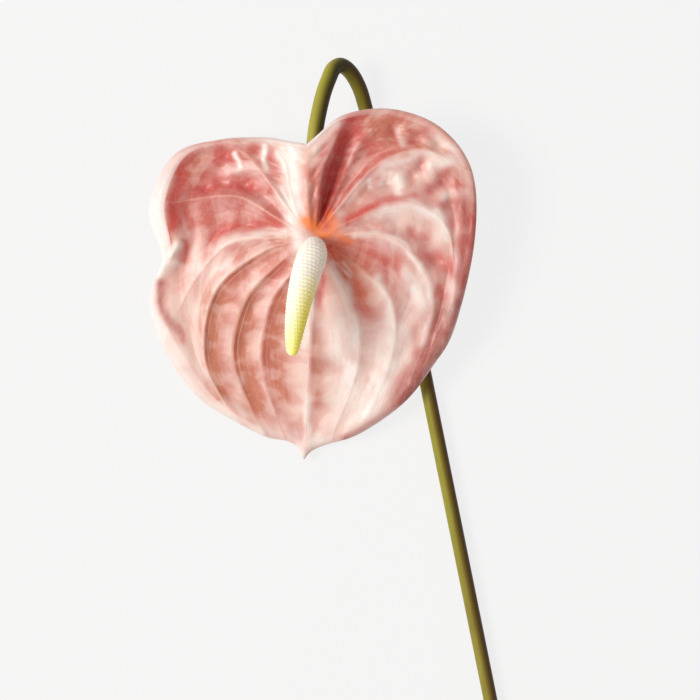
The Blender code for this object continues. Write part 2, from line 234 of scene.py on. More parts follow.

# Soft brush strokes on the spathe's face, of pigment, painted light and painted shade: width,
# strength, and a line of places.
ROSE_STROKES = (
    (12.5, 0.8, (-59, 36), (-30, 39)),
    (8.6, 0.8, (-64, 24), (-25, 24)),
    (8.6, 0.85, (-66, 12), (-21, 12)),
    (5.8, 0.5, (-52, -5), (-38, -2)),
    (7.0, 0.5, (-67, -15), (-59, -22)),
    (7.7, 0.6, (-14, -7), (-35, -14), (-42, -29)),
    (5.8, 0.85, (-49, -29), (-50, -50), (-46, -74)),
    (5.3, 0.9, (-32, -31), (-34, -53), (-28, -79)),
    (5.3, 0.75, (-16, -29), (-19, -48), (-16, -76)),
    (6.7, 0.4, (-26, -82), (-14, -92)),
    (2.4, 0.35, (-6, -85), (-6, -96)),
    (9.6, 0.75, (18, 24), (27, 43), (42, 51)),
    (7.0, 0.7, (18, 53), (28, 57), (37, 55)),
    (5.0, 0.5, (6, 44), (12, 52)),
    (9.6, 0.3, (27, 53), (61, 52), (74, 29)),
    (5.8, 0.7, (3, 3), (8, 34)),
    (2.6, 0.95, (-1, 34), (0, 20), (0, 8)),
    (2.8, 0.5, (3, 44), (2, 14)),
    (1.5, 0.6, (-68, 5), (-62, 14), (-50, 18), (-39, 17), (-25, 14), (-11, 7)),
    (1.9, 0.5, (-37, -8), (-29, -4), (-16, 0), (-8, 0)),
    (2.4, 0.4, (-20, 43), (-17, 30)),
    (7.7, 0.68, (8, -5), (30, -2), (42, -10)),
    (6.2, 0.5, (20, -10), (23, -29), (31, -37)),
    (6.7, 0.5, (34, -9), (44, -21)),
    (5.8, 0.55, (54, 0), (61, -14), (64, -29)),
    (6.0, 0.95, (70, 24), (77, 5), (74, -24)),
    (4.8, 0.5, (61, -41), (54, -57), (39, -77)),
    (3.6, 0.6, (6, -60), (16, -64)),
    (2.9, 0.6, (21, -59), (28, -70)),
    (2.6, 0.6, (2.5, -27), (2, -78)),
    (4.0, 0.5, (47, -44), (52, -56)),
    (6.7, 0.3, (-17, -88), (-3, -93)),
)
# Deep strokes: partly deep rose skin, partly painted shade in the valley right of the notch, in folds and
# pits, and right of the spadix's base.
DEEP_AND_SHADE_STROKES = (
    (4.6, 0.8, (5, 7), (9, 34), (19, 58)),
    (3.8, 0.8, (-54, 24), (-48, 25)),
    (3.8, 0.75, (-46, 27), (-39, 27)),
    (3.8, 0.8, (-35, 26), (-27, 25)),
    (4.3, 0.6, (-45, 42), (-39, 41)),
    (2.4, 0.75, (-63, 34), (-66, 24), (-68, 8)),
    (1.4, 0.5, (-65, -41), (-64, -48)),
    (1.4, 0.7, (-69.5, 4), (-70, -4)),
    (1.9, 0.35, (-62, 35), (-60, 31)),
    (2.9, 0.65, (-49, 1), (-44, 5), (-33, 7), (-14, 8)),
    (2.6, 0.6, (-62, -1), (-62, -8)),
    (3.4, 0.5, (8, -3), (17, -15)),
    (3.6, 0.3, (6, -3), (16, -2), (30, -5), (41, -11)),
    (1.7, 0.6, (5, -15), (3, -32)),
    (3.4, 0.45, (21, -21), (23, -31)),
    (2.9, 0.25, (23, -31), (29, -37)),
    (2.2, 0.75, (16, 9), (25, 14), (38, 19), (49, 20)),
    (2.4, 0.55, (14, 17), (19, 25), (31, 37)),
    (2.9, 0.5, (20, 53), (28, 43)),
    (1.4, 0.45, (38, 54), (39, 47)),
    (2.2, 0.5, (47, 47), (54, 52)),
    (1.9, 0.6, (52, 39), (53, 33)),
    (3.4, 0.55, (56, 24), (60, 27), (64, 33)),
    (2.2, 0.5, (47, 33), (47, 26)),
    (2.4, 0.35, (29, 30), (35, 28)),
    (2.9, 0.45, (63, 17), (69, 19)),
    (3.8, 0.6, (68, 9), (77, 7)),
    (2.4, 0.6, (72, 0), (72, -24)),
    (4.3, 0.7, (56, -7), (65, -10), (67, -15)),
    (2.9, 0.45, (61, -23), (67, -27)),
    (2.4, 0.35, (47, 5), (48, 2)),
    (3.4, 0.5, (59, -41), (53, -55), (42, -73)),
)
TAN_STROKES = (
    (9.6, 0.5, (-6, 5), (-30, -10), (-47, -29)),
    (6.7, 0.9, (-49, -29), (-51, -50), (-47, -74)),
    (6.7, 0.8, (-32, -31), (-34, -53), (-28, -81)),
    (5.8, 0.7, (-16, -29), (-19, -48), (-15, -77)),
    (6.7, 0.5, (8, -43), (10, -77)),
    (2.9, 0.8, (2, -29), (2, -77)),
    (4.3, 0.5, (20, -62), (28, -74)),
    (9.6, 0.6, (30, 55), (50, 47), (66, 36)),
    (3.8, 0.6, (15, 12), (25, 24), (42, 35)),
    (2.9, 0.5, (-54, 39), (-60, 31)),
)
# Pale strokes: partly pale skin, partly painted light: highlights on the lit bumps, facets, folds and the
# tongue, and paleness painted over slopes left in shade.
PALE_AND_LIT_STROKES = (
    (3.2, 0.9, (-10, 47), (-9, 27), (-8, 8)),
    (3.4, 0.8, (-14, 20), (-7, 5), (-7, -3)),
    (2.6, 0.5, (11, 55), (1, 43)),
    (2.0, 0.45, (0, 35), (1, 43)),
    (1.3, 0.95, (-37, 42), (-35, 35)),
    (1.3, 1.0, (-23, 45), (-23, 35)),
    (1.2, 0.7, (-17, 42), (-13, 35), (-12, 26)),
    (3.4, 0.55, (65, -19), (68, -26), (65, -37)),
    (2.4, 0.45, (-41, 35), (-27, 33)),
    (2.4, 0.5, (-14, 43), (-12, 25)),
    (2.4, 0.5, (-30, 48), (-10, 48)),
    (1.9, 0.6, (-48, -4), (-33, 2), (-13, 4)),
    (4.8, 0.3, (-44, -7), (-54, -13), (-60, -33)),
    (3.8, 0.4, (-63, -53), (-54, -66)),
    (1.2, 1.0, (-68.5, -6.5), (-64.3, -0.5)),
    (2.0, 0.85, (-75, -10.5), (-66, -10)),
    (3.4, 0.5, (-72, -12), (-78, -18)),
    (2.2, 0.95, (41, 30), (42, 24)),
    (1.9, 0.5, (16, 18), (22, 26), (34, 35), (52, 41), (67, 36)),
    (3.4, 0.75, (35, 14), (46, 17), (59, 12)),
    (1.9, 0.85, (59, 13), (65, 1)),
    (2.9, 0.5, (56, -4), (62, 2)),
    (4.0, 0.2, (32, -1), (46, -7)),
    (1.9, 0.5, (67, -5), (71, -14)),
    (1.9, 0.75, (63, 20.5), (73, 23)),
    (1.4, 0.7, (33.5, 31), (33.5, 27)),
    (2.6, 0.6, (57, 36), (66, 38)),
    (2.2, 0.5, (60, 48), (69, 42)),
    (1.5, 0.5, (41, 52), (42.5, 46)),
    (1.3, 0.7, (20, 3), (34, 3), (44, -2), (52, -12)),
    (1.6, 0.9, (52, -12), (57, -24), (57, -38), (53, -50)),
    (10.6, 0.75, (12, -40), (20, -75), (28, -86)),
    (8.2, 0.85, (38, -44), (33, -70)),
    (4.3, 0.35, (-24, -91), (-8, -94)),
    (1.0, 0.6, (27, 29), (28, 25)),
    (0.6, 0.9, (12, -10.5), (18.7, -17)),
    (0.6, 0.8, (14.5, -9.5), (19.2, -16)),
    (1.2, 0.6, (37, 32), (36, 27)),
    (3.4, 0.8, (45, -15), (53, -31)),
    (2.4, 0.9, (9, -12), (16, -25), (21, -43), (21, -62)),
    (2.4, 0.75, (31, -18), (37, -33), (38, -53), (34, -67)),
    (4.3, 0.6, (20, -65), (12, -82)),
    (3.8, 0.4, (43, -43), (47, -58)),
    (1.9, 0.8, (0, -24), (-4, -51)),
    (1.7, 0.8, (-3, -74), (-3, -96)),
    (2.4, 0.8, (3, -96), (-3, -99)),
)
ORANGE_STROKES = (
    (2.9, 0.85, (-4, 9), (2, 6)),
    (1.9, 1.0, (2, 3), (7, 2)),
    (2.4, 0.6, (8, 12), (10, 4)),
    (1.9, 0.45, (13, 1), (19, 0)),
    (7.0, 0.3, (10, -4), (20, -12), (23, -26)),
    (3.2, 0.18, (-1, 42), (-1, 12)),
)
# Dusk strokes: painted shade on the right rim and lower lip turned from the light, on the left lip's inner
# edge, in the pits and dents, and over the left lobe's hollow.
PAINTED_SHADE_STROKES = (
    (3.4, 0.55, (79, 24), (77, -4), (71, -30)),
    (5.5, 1.0, (61, -34), (60, -44), (54, -60), (43, -75)),
    (3.6, 0.8, (71, -30), (62, -50), (46, -73)),
    (5.0, 0.5, (71, 18), (72, 0), (70, -15)),
    (2.4, 0.95, (-74.3, -20), (-74.9, -29), (-73.2, -34), (-70, -39.5)),
    (1.9, 0.5, (-69.5, -39.5), (-66, -44)),
    (1.9, 0.7, (44, -76), (31, -86), (15, -96)),
    (3.0, 0.7, (57, 25), (60, 27), (65, 32)),
    (2.2, 0.45, (47, 47), (54, 52)),
    (1.6, 0.5, (51, 38), (49.5, 34)),
    (3.5, 0.35, (64, 15), (72, 16)),
    (1.6, 0.4, (35.5, 53), (36.5, 46)),
    (11.0, 0.16, (-62, 30), (-34, 24)),
    (7.0, 0.25, (-64, 17), (-42, 20)),
    (3.0, 0.22, (5, -58), (11, -62)),
    (3.0, 0.22, (20, -56), (27, -60)),
    (3.2, 0.2, (3, -80), (10, -82)),
    (2.6, 0.2, (31, -62), (37, -66)),
    (3.4, 0.25, (-61, -62), (-53, -72)),
)

# How each crest is coloured: rose just past it, partly the skin's rose and partly painted shade on the
# flank turned from the light, how far that reaches, how pale it is before it, partly pale skin and partly
# painted light on the lit flank, the strength of its own thin line, and of a second line beside it.
CREST_COLOURS = (
    ("notch", 0.0, 4.0, 0.5, 0.0, 0.0),
    ("left 1", 0.3, 3.0, 0.3, 0.3, 0.0),
    ("left 2", 0.3, 5.0, 0.2, 0.4, 0.0),
    ("left 3", 0.9, 2.5, 0.1, 0.65, 0.0),
    ("left 4", 0.3, 3.0, 0.2, 0.3, 0.3),
    ("left 5", 0.95, 10.0, 0.6, 0.3, 0.7),
    ("left 6", 0.95, 8.0, 0.3, 0.8, 0.9),
    ("left 7", 1.0, 9.0, 0.3, 0.2, 0.3),
    ("middle", 0.9, 3.5, 0.5, 0.4, 0.0),
    ("right 7", 0.4, 5.0, 0.7, 0.3, 0.0),
    ("right 6", 0.5, 5.0, 0.6, 0.4, 0.0),
    ("right 5", 0.6, 6.0, 0.9, 0.9, 0.0),
    ("right 4", 0.9, 3.5, 0.15, 0.35, 0.0),
    ("right 3", 0.8, 6.0, 0.3, 0.5, 0.0),
    ("right 2", 0.6, 12.0, 0.0, 0.0, 0.0),
    ("right 1", 0.1, 4.0, 0.0, 0.1, 0.0),
)
SECOND_LINE = 2.6
LINE_WIDTHS = (0.7, 0.55)
LINE_START = (0.06, 0.2)
LINE_END = (0.8, 0.95)
SECOND_START = (0.15, 0.4)
SECOND_END = (0.7, 0.9)
# The rose band past each crest, partly painted shade: its share at the crest, how far it rises, where it
# starts and fades, and how much it loses.
PAST_SHADE_AT_CREST = 0.6
PAST_SHADE_RISE = 2.5
PAST_SHADE_START = (0.1, 0.3)
PAST_SHADE_END = (0.65, 1.0)
PAST_SHADE_LOSS = 0.85
# The pale band before each crest, partly painted light: how far it reaches, where it starts, and its
# strength.
PALE_REACH = 2.2
PALE_START = (0.15, 0.4)
PALE_BY_CREST = 0.8

# The spadix's axis, with heights over the seat, its radii there, and its rows of florets.
SPADIX_AXIS = (
    (0.9, -2.4, 0.9),
    (0.9, -3.0, 3.8),
    (-0.1, -8.0, 9.6),
    (-2.7, -16.5, 15.2),
    (-5.1, -26, 19.6),
    (-7.1, -36.5, 22.6),
    (-8.4, -46, 24.2),
    (-9.0, -52.6, 25),
)
SPADIX_RADII = (3.2, 5.2, 7.2, 7.1, 6.4, 5.5, 4.3, 3.1)
FLORET_COLUMNS = 40
FLORET_ROWS = 34
FLORET_TWIST = 0.5
FLORET_HEIGHT = 0.65
FLORET_HALF_WIDTH = 1.6
FLORET_HALF_LENGTH = 0.64
FLORET_START = (0.8, 2.0)
FLORET_SPLIT = 6
ROW_SPLIT = 9
CENTRE_SPREAD = 0.08
CENTRE_SHARE = 0.1
DOME_ROWS = 3
DOME_SMOOTHING = 0.6
RING_RISE = 0.002

# How deep the materials' bump reaches, in metres
BUMP_DISTANCE = 0.0006

# Colours of the stalk, the spathe and the spadix, painted light and painted shade among them
STEM_GREENS = ((0.25, 0.23, 0.02), (0.43, 0.41, 0.06))
STEM_BLOTCH = (0.21, 0.165, 0.028)
STEM_FLECK = (0.40, 0.39, 0.08)
# Painted shade on the stalk's right side, turned from the light: its dark colours from the lying part to
# the crook, and the turns over which it comes in.
STEM_PAINTED_SHADES = ((0.085, 0.042, 0.013), (0.045, 0.034, 0.009))
STEM_PAINTED_SHADE_TURNS = (-0.65, 0.75)
PITH = (0.62, 0.62, 0.36)
PITH_EDGE = (0.30, 0.33, 0.10)
SKIN = (0.77, 0.565, 0.505)
ROSE = (0.52, 0.15, 0.122)
TAN = (0.485, 0.20, 0.118)
# Deep rose, partly painted shade
DEEP_ROSE_AND_SHADE = (0.54, 0.072, 0.06)
# Pale skin, partly painted light
PALE_AND_LIT = (0.88, 0.79, 0.75)
CREST_LINE = (0.88, 0.62, 0.46)
# Painted light on the rolled lip
LIT_LIP = (0.86, 0.785, 0.76)
# Painted shade
PAINTED_SHADE_COLOUR = (0.35, 0.12, 0.10)
ORANGE = (0.92, 0.24, 0.045)
NET = (0.92, 0.78, 0.68)
BACK_COLOURS = ((0.80, 0.60, 0.52), (0.70, 0.42, 0.35))
SPADIX_WHITE = (0.94, 0.91, 0.83)
SPADIX_CREAM = (0.96, 0.98, 0.74)
SPADIX_LIME = (0.96, 1.0, 0.40)
# Painted shade on the spadix's right side, turned from the light, and the turns over which it comes in
SPADIX_SHADED_SIDE = (0.86, 0.80, 0.09)
SPADIX_SHADE_TURNS = (-0.45, 0.9)
SPADIX_GROOVE = (0.97, 0.95, 0.88)
SPADIX_CENTRE = (0.80, 0.78, 0.50)

# The studio, in metres: a floor that glows softly, one large light up on the left, and pale air.
FLOOR_SIZE = 12
FLOOR_GREY = 0.1
FLOOR_GLOW = 0.81
HEAD_HEIGHT = 0.03
KEY_PLACE = (-1.6, -0.05, 1.75)
KEY_SIZE = 0.9
KEY_ENERGY = 50
KEY_COLOUR = (1.0, 0.97, 0.93)
AIR_COLOUR = (1.0, 0.89, 0.88)
AIR_STRENGTH = 0.45

# Where the photograph was taken from: over the flower, looking straight down.
CAMERA_PLACE = (17.7, -52.6, 900.0)
CAMERA_LENS = 93.2


def smoothstep(low, high, value):
    """0 below low and 1 above high, with a smooth rise between them."""
    x = np.clip((value - low) / (high - low), 0.0, 1.0)
    return x * x * (3.0 - 2.0 * x)


def smooth_through(points, at, closed=False):
    """A smooth curve through points of any shape, at places counted in points along it."""
    points = np.asarray(points, float)
    count = len(points)
    at = np.asarray(at, float)
    if closed:
        start = np.floor(at).astype(int)
        picks = [points[(start + offset) % count] for offset in (-1, 0, 1, 2)]
    else:
        start = np.clip(np.floor(at).astype(int), 0, count - 2)
        before = 2 * points[0] - points[1]
        after = 2 * points[-1] - points[-2]
        padded = np.concatenate([[before], points, [after]])
        picks = [padded[start + offset] for offset in (0, 1, 2, 3)]
    x = (at - start).reshape((-1,) + (1,) * (points.ndim - 1))
    a, b, c, d = picks
    return b + 0.5 * x * (c - a + x * (2 * a - 5 * b + 4 * c - d + x * (3 * (b - c) + d - a)))


def even_places(points, shares):
    """Places counted in points along a smooth curve, at given shares of its length."""
    fine = np.linspace(0, len(points) - 1, 40 * len(points))
    steps = np.linalg.norm(np.diff(smooth_through(points, fine), axis=0), axis=1)
    walked = np.concatenate([[0.0], np.cumsum(steps)])
    return np.interp(shares * walked[-1], walked, fine)


def tube_frames(path):
    """Two crosswise directions at each point of a path, carried along it without twisting."""
    along = np.gradient(path, axis=0)
    along /= np.linalg.norm(along, axis=1)[:, None]
    side = np.cross(along[0], (0.0, 0.0, 1.0))
    sides = []
    for direction in along:
        side = side - direction * side.dot(direction)
        side /= np.linalg.norm(side)
        sides.append(side)
    sides = np.array(sides)
    return along, sides, np.cross(sides, along)


def grid_faces(rows, columns):
    """Faces of a grid that closes round its columns, facing out when the rows run forward."""
    row, column = np.meshgrid(np.arange(rows - 1), np.arange(columns), indexing="ij")
    turn = (column + 1) % columns
    a = row * columns + column
    b = row * columns + turn
    return np.stack([a, b, b + columns, a + columns], axis=-1).reshape(-1, 4)


def cap_faces(first, columns, centre, forward):
    """A fan that closes one ring of a grid to a centre point."""
    a = first + np.arange(columns)
    b = first + (np.arange(columns) + 1) % columns
    tip = np.full(columns, centre)
    return np.stack([a, b, tip] if forward else [b, a, tip], axis=-1)


def add_piece(name, points, faces, attributes, finish, node):
    """A smooth mesh from points in millimetres that stands for a CAD node and rides on the root."""
    shifted = (np.asarray(points) + (*SEAT, 0.0)) * MM
    mesh = bpy.data.meshes.new(name)
    mesh.from_pydata(shifted.tolist(), [], faces)
    mesh.polygons.foreach_set("use_smooth", [True] * len(mesh.polygons))
    for label, values in attributes.items():
        layer = mesh.attributes.new(label, "FLOAT", "POINT")
        layer.data.foreach_set("value", np.asarray(values, np.float32).ravel())
    mesh.materials.append(finish)
    mesh.update()
    piece = bpy.data.objects.new(name, mesh)
    bpy.context.scene.collection.objects.link(piece)
    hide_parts(node)
    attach(piece, "root")


# Material helpers
def new_material(name):
    """A new material, its node tree and its main shader."""
    made = bpy.data.materials.new(name)
    made.use_nodes = True
    tree = made.node_tree
    return made, tree, tree.nodes["Principled BSDF"]


def attribute(tree, name):
    """What the mesh carries at each point under this name."""
    node = tree.nodes.new("ShaderNodeAttribute")
    node.attribute_name = name
    return node.outputs["Fac"]


def noise(tree, vector, scale, detail, roughness=0.5, distortion=0.0):
    """Soft noise from 0 to 1."""
    node = tree.nodes.new("ShaderNodeTexNoise")
    node.inputs["Scale"].default_value = scale
    node.inputs["Detail"].default_value = detail
    node.inputs["Roughness"].default_value = roughness
    node.inputs["Distortion"].default_value = distortion
    tree.links.new(vector, node.inputs["Vector"])
    return node.outputs["Fac"]


def maths(tree, operation, a, b=None, clamp=False):
    """One operation on values that are sockets or plain numbers."""
    node = tree.nodes.new("ShaderNodeMath")
    node.operation = operation
    node.use_clamp = clamp
    for socket, value in zip(node.inputs, (a, b)):
        if value is None:
            continue
        if isinstance(value, (int, float)):
            socket.default_value = value
        else:
            tree.links.new(value, socket)
    return node.outputs[0]


def remap(tree, value, low, high, to_low=0.0, to_high=1.0):
    """A smooth ramp that takes low to to_low and high to to_high."""
    node = tree.nodes.new("ShaderNodeMapRange")
    node.interpolation_type = "SMOOTHSTEP"
    tree.links.new(value, node.inputs["Value"])
    node.inputs["From Min"].default_value = low
    node.inputs["From Max"].default_value = high
    node.inputs["To Min"].default_value = to_low
    node.inputs["To Max"].default_value = to_high
    return node.outputs["Result"]


def mix(tree, factor, a, b, blend="MIX"):
    """Colour a going over to colour b by the factor."""
    node = tree.nodes.new("ShaderNodeMix")
    node.data_type = "RGBA"
    node.blend_type = blend
    node.clamp_factor = True
    if isinstance(factor, (int, float)):
        node.inputs["Factor"].default_value = factor
    else:
        tree.links.new(factor, node.inputs["Factor"])
    for socket, value in ((node.inputs["A"], a), (node.inputs["B"], b)):
        if isinstance(value, tuple):
            socket.default_value = (*value, 1.0)
        else:
            tree.links.new(value, socket)
    return node.outputs["Result"]


def object_place(tree, stretch=(1, 1, 1)):
    """The place on the object, in metres, stretched along each axis."""
    place = tree.nodes.new("ShaderNodeTexCoord")
    mapping = tree.nodes.new("ShaderNodeMapping")
    mapping.inputs["Scale"].default_value = stretch
    tree.links.new(place.outputs["Object"], mapping.inputs["Vector"])
    return mapping.outputs["Vector"]


def bump(tree, shader, height, strength):
    """Low relief that only the shading shows."""
    node = tree.nodes.new("ShaderNodeBump")
    node.inputs["Strength"].default_value = strength
    node.inputs["Distance"].default_value = BUMP_DISTANCE
    tree.links.new(height, node.inputs["Height"])
    tree.links.new(node.outputs["Normal"], shader.inputs["Normal"])


# The stalk
def stem_path():
    """The stalk's middle line from the cut end to just under the spathe, its radius, and shares."""
    places = [(x, y, CUT_RADIUS) for x, y in STEM_LYING]
    places.extend(STEM_CROOK)
    top = SEAT_HEIGHT - THICKNESS / 2 - GAP
    places.append((0, 0, top))
    lying = np.arange(0, len(STEM_LYING) - 1, LYING_STEP)
    bent = np.arange(len(STEM_LYING) - 1, len(places) - 1, BENT_STEP)
    at = np.concatenate([lying, bent, [len(places) - 1]])
    path = smooth_through(places, at)
    path[-1] = (0, 0, top)
    rise = smoothstep(len(STEM_LYING), len(STEM_LYING) + THICKENING_PLACES, at)
    radius = CUT_RADIUS + (NECK_RADIUS - CUT_RADIUS) * rise
    return path, radius, at / (len(places) - 1)


def stem_material():
    """Smooth green skin with painted shade darkening its right side, and pale pith at the cut."""
    made, tree, shader = new_material("stem_skin")
    along = attribute(tree, "along")
    cut = attribute(tree, "cut")
    fleck = noise(tree, object_place(tree, (1, 0.12, 1)), scale=260, detail=4)
    blotch = noise(tree, object_place(tree, (1, 0.5, 1)), scale=22, detail=3)
    green = mix(tree, remap(tree, along, 0.35, 0.95), *STEM_GREENS)
    green = mix(tree, remap(tree, blotch, 0.45, 0.75, 0.0, 0.6), green, STEM_BLOTCH)
    green = mix(tree, remap(tree, fleck, 0.35, 0.75, 0.0, 0.3), green, STEM_FLECK)
    # Painted shade darkens the right side of the stalk, where it is turned from the light.
    painted_shade = mix(tree, remap(tree, along, 0.25, 0.6), *STEM_PAINTED_SHADES)
    green = mix(tree, attribute(tree, "painted_shade"), green, painted_shade)
    pith = mix(tree, remap(tree, cut, 0.15, 0.95), PITH, PITH_EDGE)
    colour = mix(tree, remap(tree, cut, 0.0, 0.02), green, pith)
    tree.links.new(colour, shader.inputs["Base Color"])
    shader.inputs["Roughness"].default_value = 0.42
    shader.inputs["Specular IOR Level"].default_value = 0.15
    shader.inputs["Subsurface Weight"].default_value = 0.1
    shader.inputs["Subsurface Scale"].default_value = 0.003
    bump(tree, shader, fleck, 0.12)
    return made


def stem_rings(path, radius):
    """Rings of points with faint ridges, none under the floor, and the way each point faces."""
    along, across, up = tube_frames(path)
    turn = 2 * math.pi * np.arange(STEM_SIDES) / STEM_SIDES
    spoke = np.cos(turn)[None, :, None] * up[:, None] + np.sin(turn)[None, :, None] * across[:, None]
    ridge = 1 + sum(height * np.cos(count * turn + turned) for height, count, turned in RIDGES)
    points = path[:, None] + radius[:, None, None] * spoke * ridge[None, :, None]
    points[0] -= along[0] * (CUT_SLANT * radius[0] * np.cos(turn))[:, None]
    points[-1, :, 2] = path[-1][2]
    points[:, :, 2] = np.maximum(points[:, :, 2], 0.0)
    return points, spoke, along[0]


def build_stem():
    """The stalk, with its pith a little sunken at the cut end."""
    path, radius, share = stem_path()
    rings, spoke, inward = stem_rings(path, radius)
    rows, sides = rings.shape[:2]
    edge_depth, middle_depth = PITH_DEPTHS
    pith = path[0] + PITH_SHARE * (rings[0] - path[0]) + inward * edge_depth
    points = np.concatenate([rings.reshape(-1, 3), pith, [path[0] + inward * middle_depth], [path[-1]]])
    count = rows * sides
    faces = grid_faces(rows, sides).tolist()
    a = np.arange(sides)
    b = (a + 1) % sides
    faces += np.stack([b, a, count + a, count + b], axis=-1).tolist()
    faces += cap_faces(count, sides, count + sides, False).tolist()
    faces += cap_faces(count - sides, sides, count + sides + 1, True).tolist()
    cut = np.zeros(len(points))
    cut[count : count + sides], cut[count + sides] = PITH_TINTS
    # Painted shade: how far each point is turned to the right, away from the light.
    painted_shade = smoothstep(*STEM_PAINTED_SHADE_TURNS, spoke[:, :, 0].ravel())
    attributes = {
        "along": np.concatenate([np.repeat(share, sides), np.zeros(sides + 1), [1.0]]),
        "cut": cut,
        "painted_shade": np.concatenate([painted_shade, np.zeros(sides + 2)]),
    }
    add_piece("stem_fine", points, faces, attributes, stem_material(), "stem")


# The spathe
def vein_curves(column_at):
    """For each column, five places from the seat's ring out to the margin, and the lip's sizes."""
    curves = []
    lips = []
    for _, places, width, rise in SPATHE_VEINS:
        heading = math.atan2(places[0][1], places[0][0])
        ring = (SEAT_RADIUS * math.cos(heading), SEAT_RADIUS * math.sin(heading), SEAT_HEIGHT)
        curves.append((ring,) + places)
        lips.append((width, rise))
    return (
        smooth_through(curves, column_at, closed=True),
        smooth_through(lips, column_at, closed=True),
    )


def trough_depth(column_at, out):
    """How far the sheet sinks between its crests, with soft waves of quilting along each trough."""
    depth = np.zeros_like(out)
    ends = [crest[0] for crest in CRESTS[1:]] + [len(SPATHE_VEINS)]
    rng = np.random.default_rng(RANDOM_SEED)
    for (start, deepest, middle), end in zip(CRESTS, ends):
        inside = (column_at >= start) & (column_at < end)
        across = (column_at[inside] - start) / (end - start)
        bent = across ** (math.log(0.5) / math.log(middle))
        hollow = np.sin(math.pi * bent) ** TROUGH_ROUNDNESS
        place = out[inside]
        envelope = smoothstep(*TROUGH_START, place) * (1 - TROUGH_LOSS * smoothstep(*TROUGH_END, place))
        phase = rng.uniform(0, 2 * math.pi)
        wave = np.cos(2 * math.pi * QUILT_WAVES * place + phase) * smoothstep(*QUILT_START, place)
        quilt = QUILT_HEIGHT * min(1.0, deepest - SMOOTH_TROUGH) * wave
        depth[inside] = hollow[:, None] * (deepest * envelope + quilt)
    return depth


def distance_to_line(places, start, end):
    """Distance in plan of each place from a straight line between two places."""
    start = np.array(start, float)
    step = np.array(end, float) - start
    from_start = places[..., :2] - start
    share = np.clip((from_start @ step) / (step @ step), 0, 1)
    return np.linalg.norm(from_start - share[..., None] * step, axis=-1)


def nearest_on(places, line):
    """Distance in plan of each place from a line through several places."""
    runs = [distance_to_line(places, start, end) for start, end in zip(line, line[1:])]
    return np.minimum.reduce(runs)


def paint(places, strokes):
    """Strength from 0 to 1 of soft brush strokes at each place."""
    clear = np.ones(places.shape[:-1])
    for width, strength, *line in strokes:
        clear *= 1 - strength * np.exp(-((nearest_on(places, line) / width) ** 2))
    return 1 - clear


def wander(places):
    """The places moved a little in plan, so that what is painted by them has uneven edges."""
    x, y = places[..., 0], places[..., 1]
    moved = np.array(places)
    moved[..., 0] += WANDER * (np.sin(0.42 * y + 0.11 * x) + 0.5 * np.sin(0.8 * y - 0.3 * x + 2))
    moved[..., 1] += WANDER * (np.sin(0.38 * x - 0.1 * y + 1) + 0.5 * np.sin(0.75 * x + 0.3 * y))
    return moved


def walk_between_crests(points):
    """Millimetres round the sheet from the crest before each place, and on to the crest after it."""
    gap = np.linalg.norm(np.roll(points, -1, axis=0) - points, axis=2)
    walked = np.concatenate([np.zeros((1, points.shape[1])), np.cumsum(gap, axis=0)])
    bounds = [SPATHE_SEGMENTS * crest[0] for crest in CRESTS] + [len(points)]
    past = np.empty(points.shape[:2])
    ahead = np.empty(points.shape[:2])
    number = np.empty(points.shape[:2])
    for index, (start, end) in enumerate(zip(bounds, bounds[1:])):
        past[start:end] = walked[start:end] - walked[start]
        ahead[start:end] = walked[end] - walked[start:end]
        number[start:end] = index
    return past, ahead, number


def rolled_sheet(column_at, ring_at):
    """The sheet between seat and margin with its lip rolled down: places over 1 are on the lip.

    Gives its points, their shares of the way out, how far each is on the lip, and how far rolled.
    """
    curves, lips = vein_curves(column_at)
    width = lips[:, :1]
    rise = lips[:, 1:]
    length = np.linalg.norm(np.diff(curves[:, :, :2], axis=1), axis=2).sum(axis=1)[:, None]
    crest = 1 - width / length
    flat = np.minimum(ring_at, 1.0)[None, :]
    roll = np.clip(ring_at - 1.0, 0.0, 1.0)[None, :] * LIP_TURN
    reach = np.where(roll < math.pi / 2, np.sin(roll), 1 - LIP_TUCK * (1 - np.sin(roll)))
    out = crest * flat + (1 - crest) * reach
    places_at = (curves.shape[1] - 1) * out
    points = np.stack([smooth_through(curve, at) for curve, at in zip(curves, places_at)])
    climb = smoothstep(crest - LIP_RISE_LENGTH / length, crest, out)
    points[:, :, 2] += rise * climb - LIP_SINK * width * (1 - np.cos(roll))
    lip = np.maximum(smoothstep(crest - LIP_BLEND * (1 - crest), crest, out), roll > 0)
    return points, out, lip, roll


def draw_tip_and_notch(points, column_at, out):
    """Draws the tip out at the middle vein, and the notch in between the lobes."""
    from_middle = column_at[:, None] - MIDDLE_VEIN
    spread = np.where(from_middle < 0, *TIP_SPREADS)
    tip = TIP_LENGTH * np.exp(-np.abs(from_middle) / spread) * smoothstep(TIP_START, 1.0, out)
    from_notch = np.minimum(column_at, len(SPATHE_VEINS) - column_at)[:, None]
    notch = NOTCH_LENGTH * np.exp(-from_notch / NOTCH_SPREAD) * smoothstep(NOTCH_START, 1.0, out)
    points[:, :, 1] -= tip + notch


def pit_depth(points, roll):
    """Depth of the soft pits between the veins, of which the lip has none."""
    depth = np.zeros(points.shape[:2])
    for x, y, radius, deep in PITS:
        apart = (points[:, :, 0] - x) ** 2 + (points[:, :, 1] - y) ** 2
        depth += deep * np.exp(-apart / (PIT_SOFTNESS * radius**2)) * (roll == 0)
    return depth


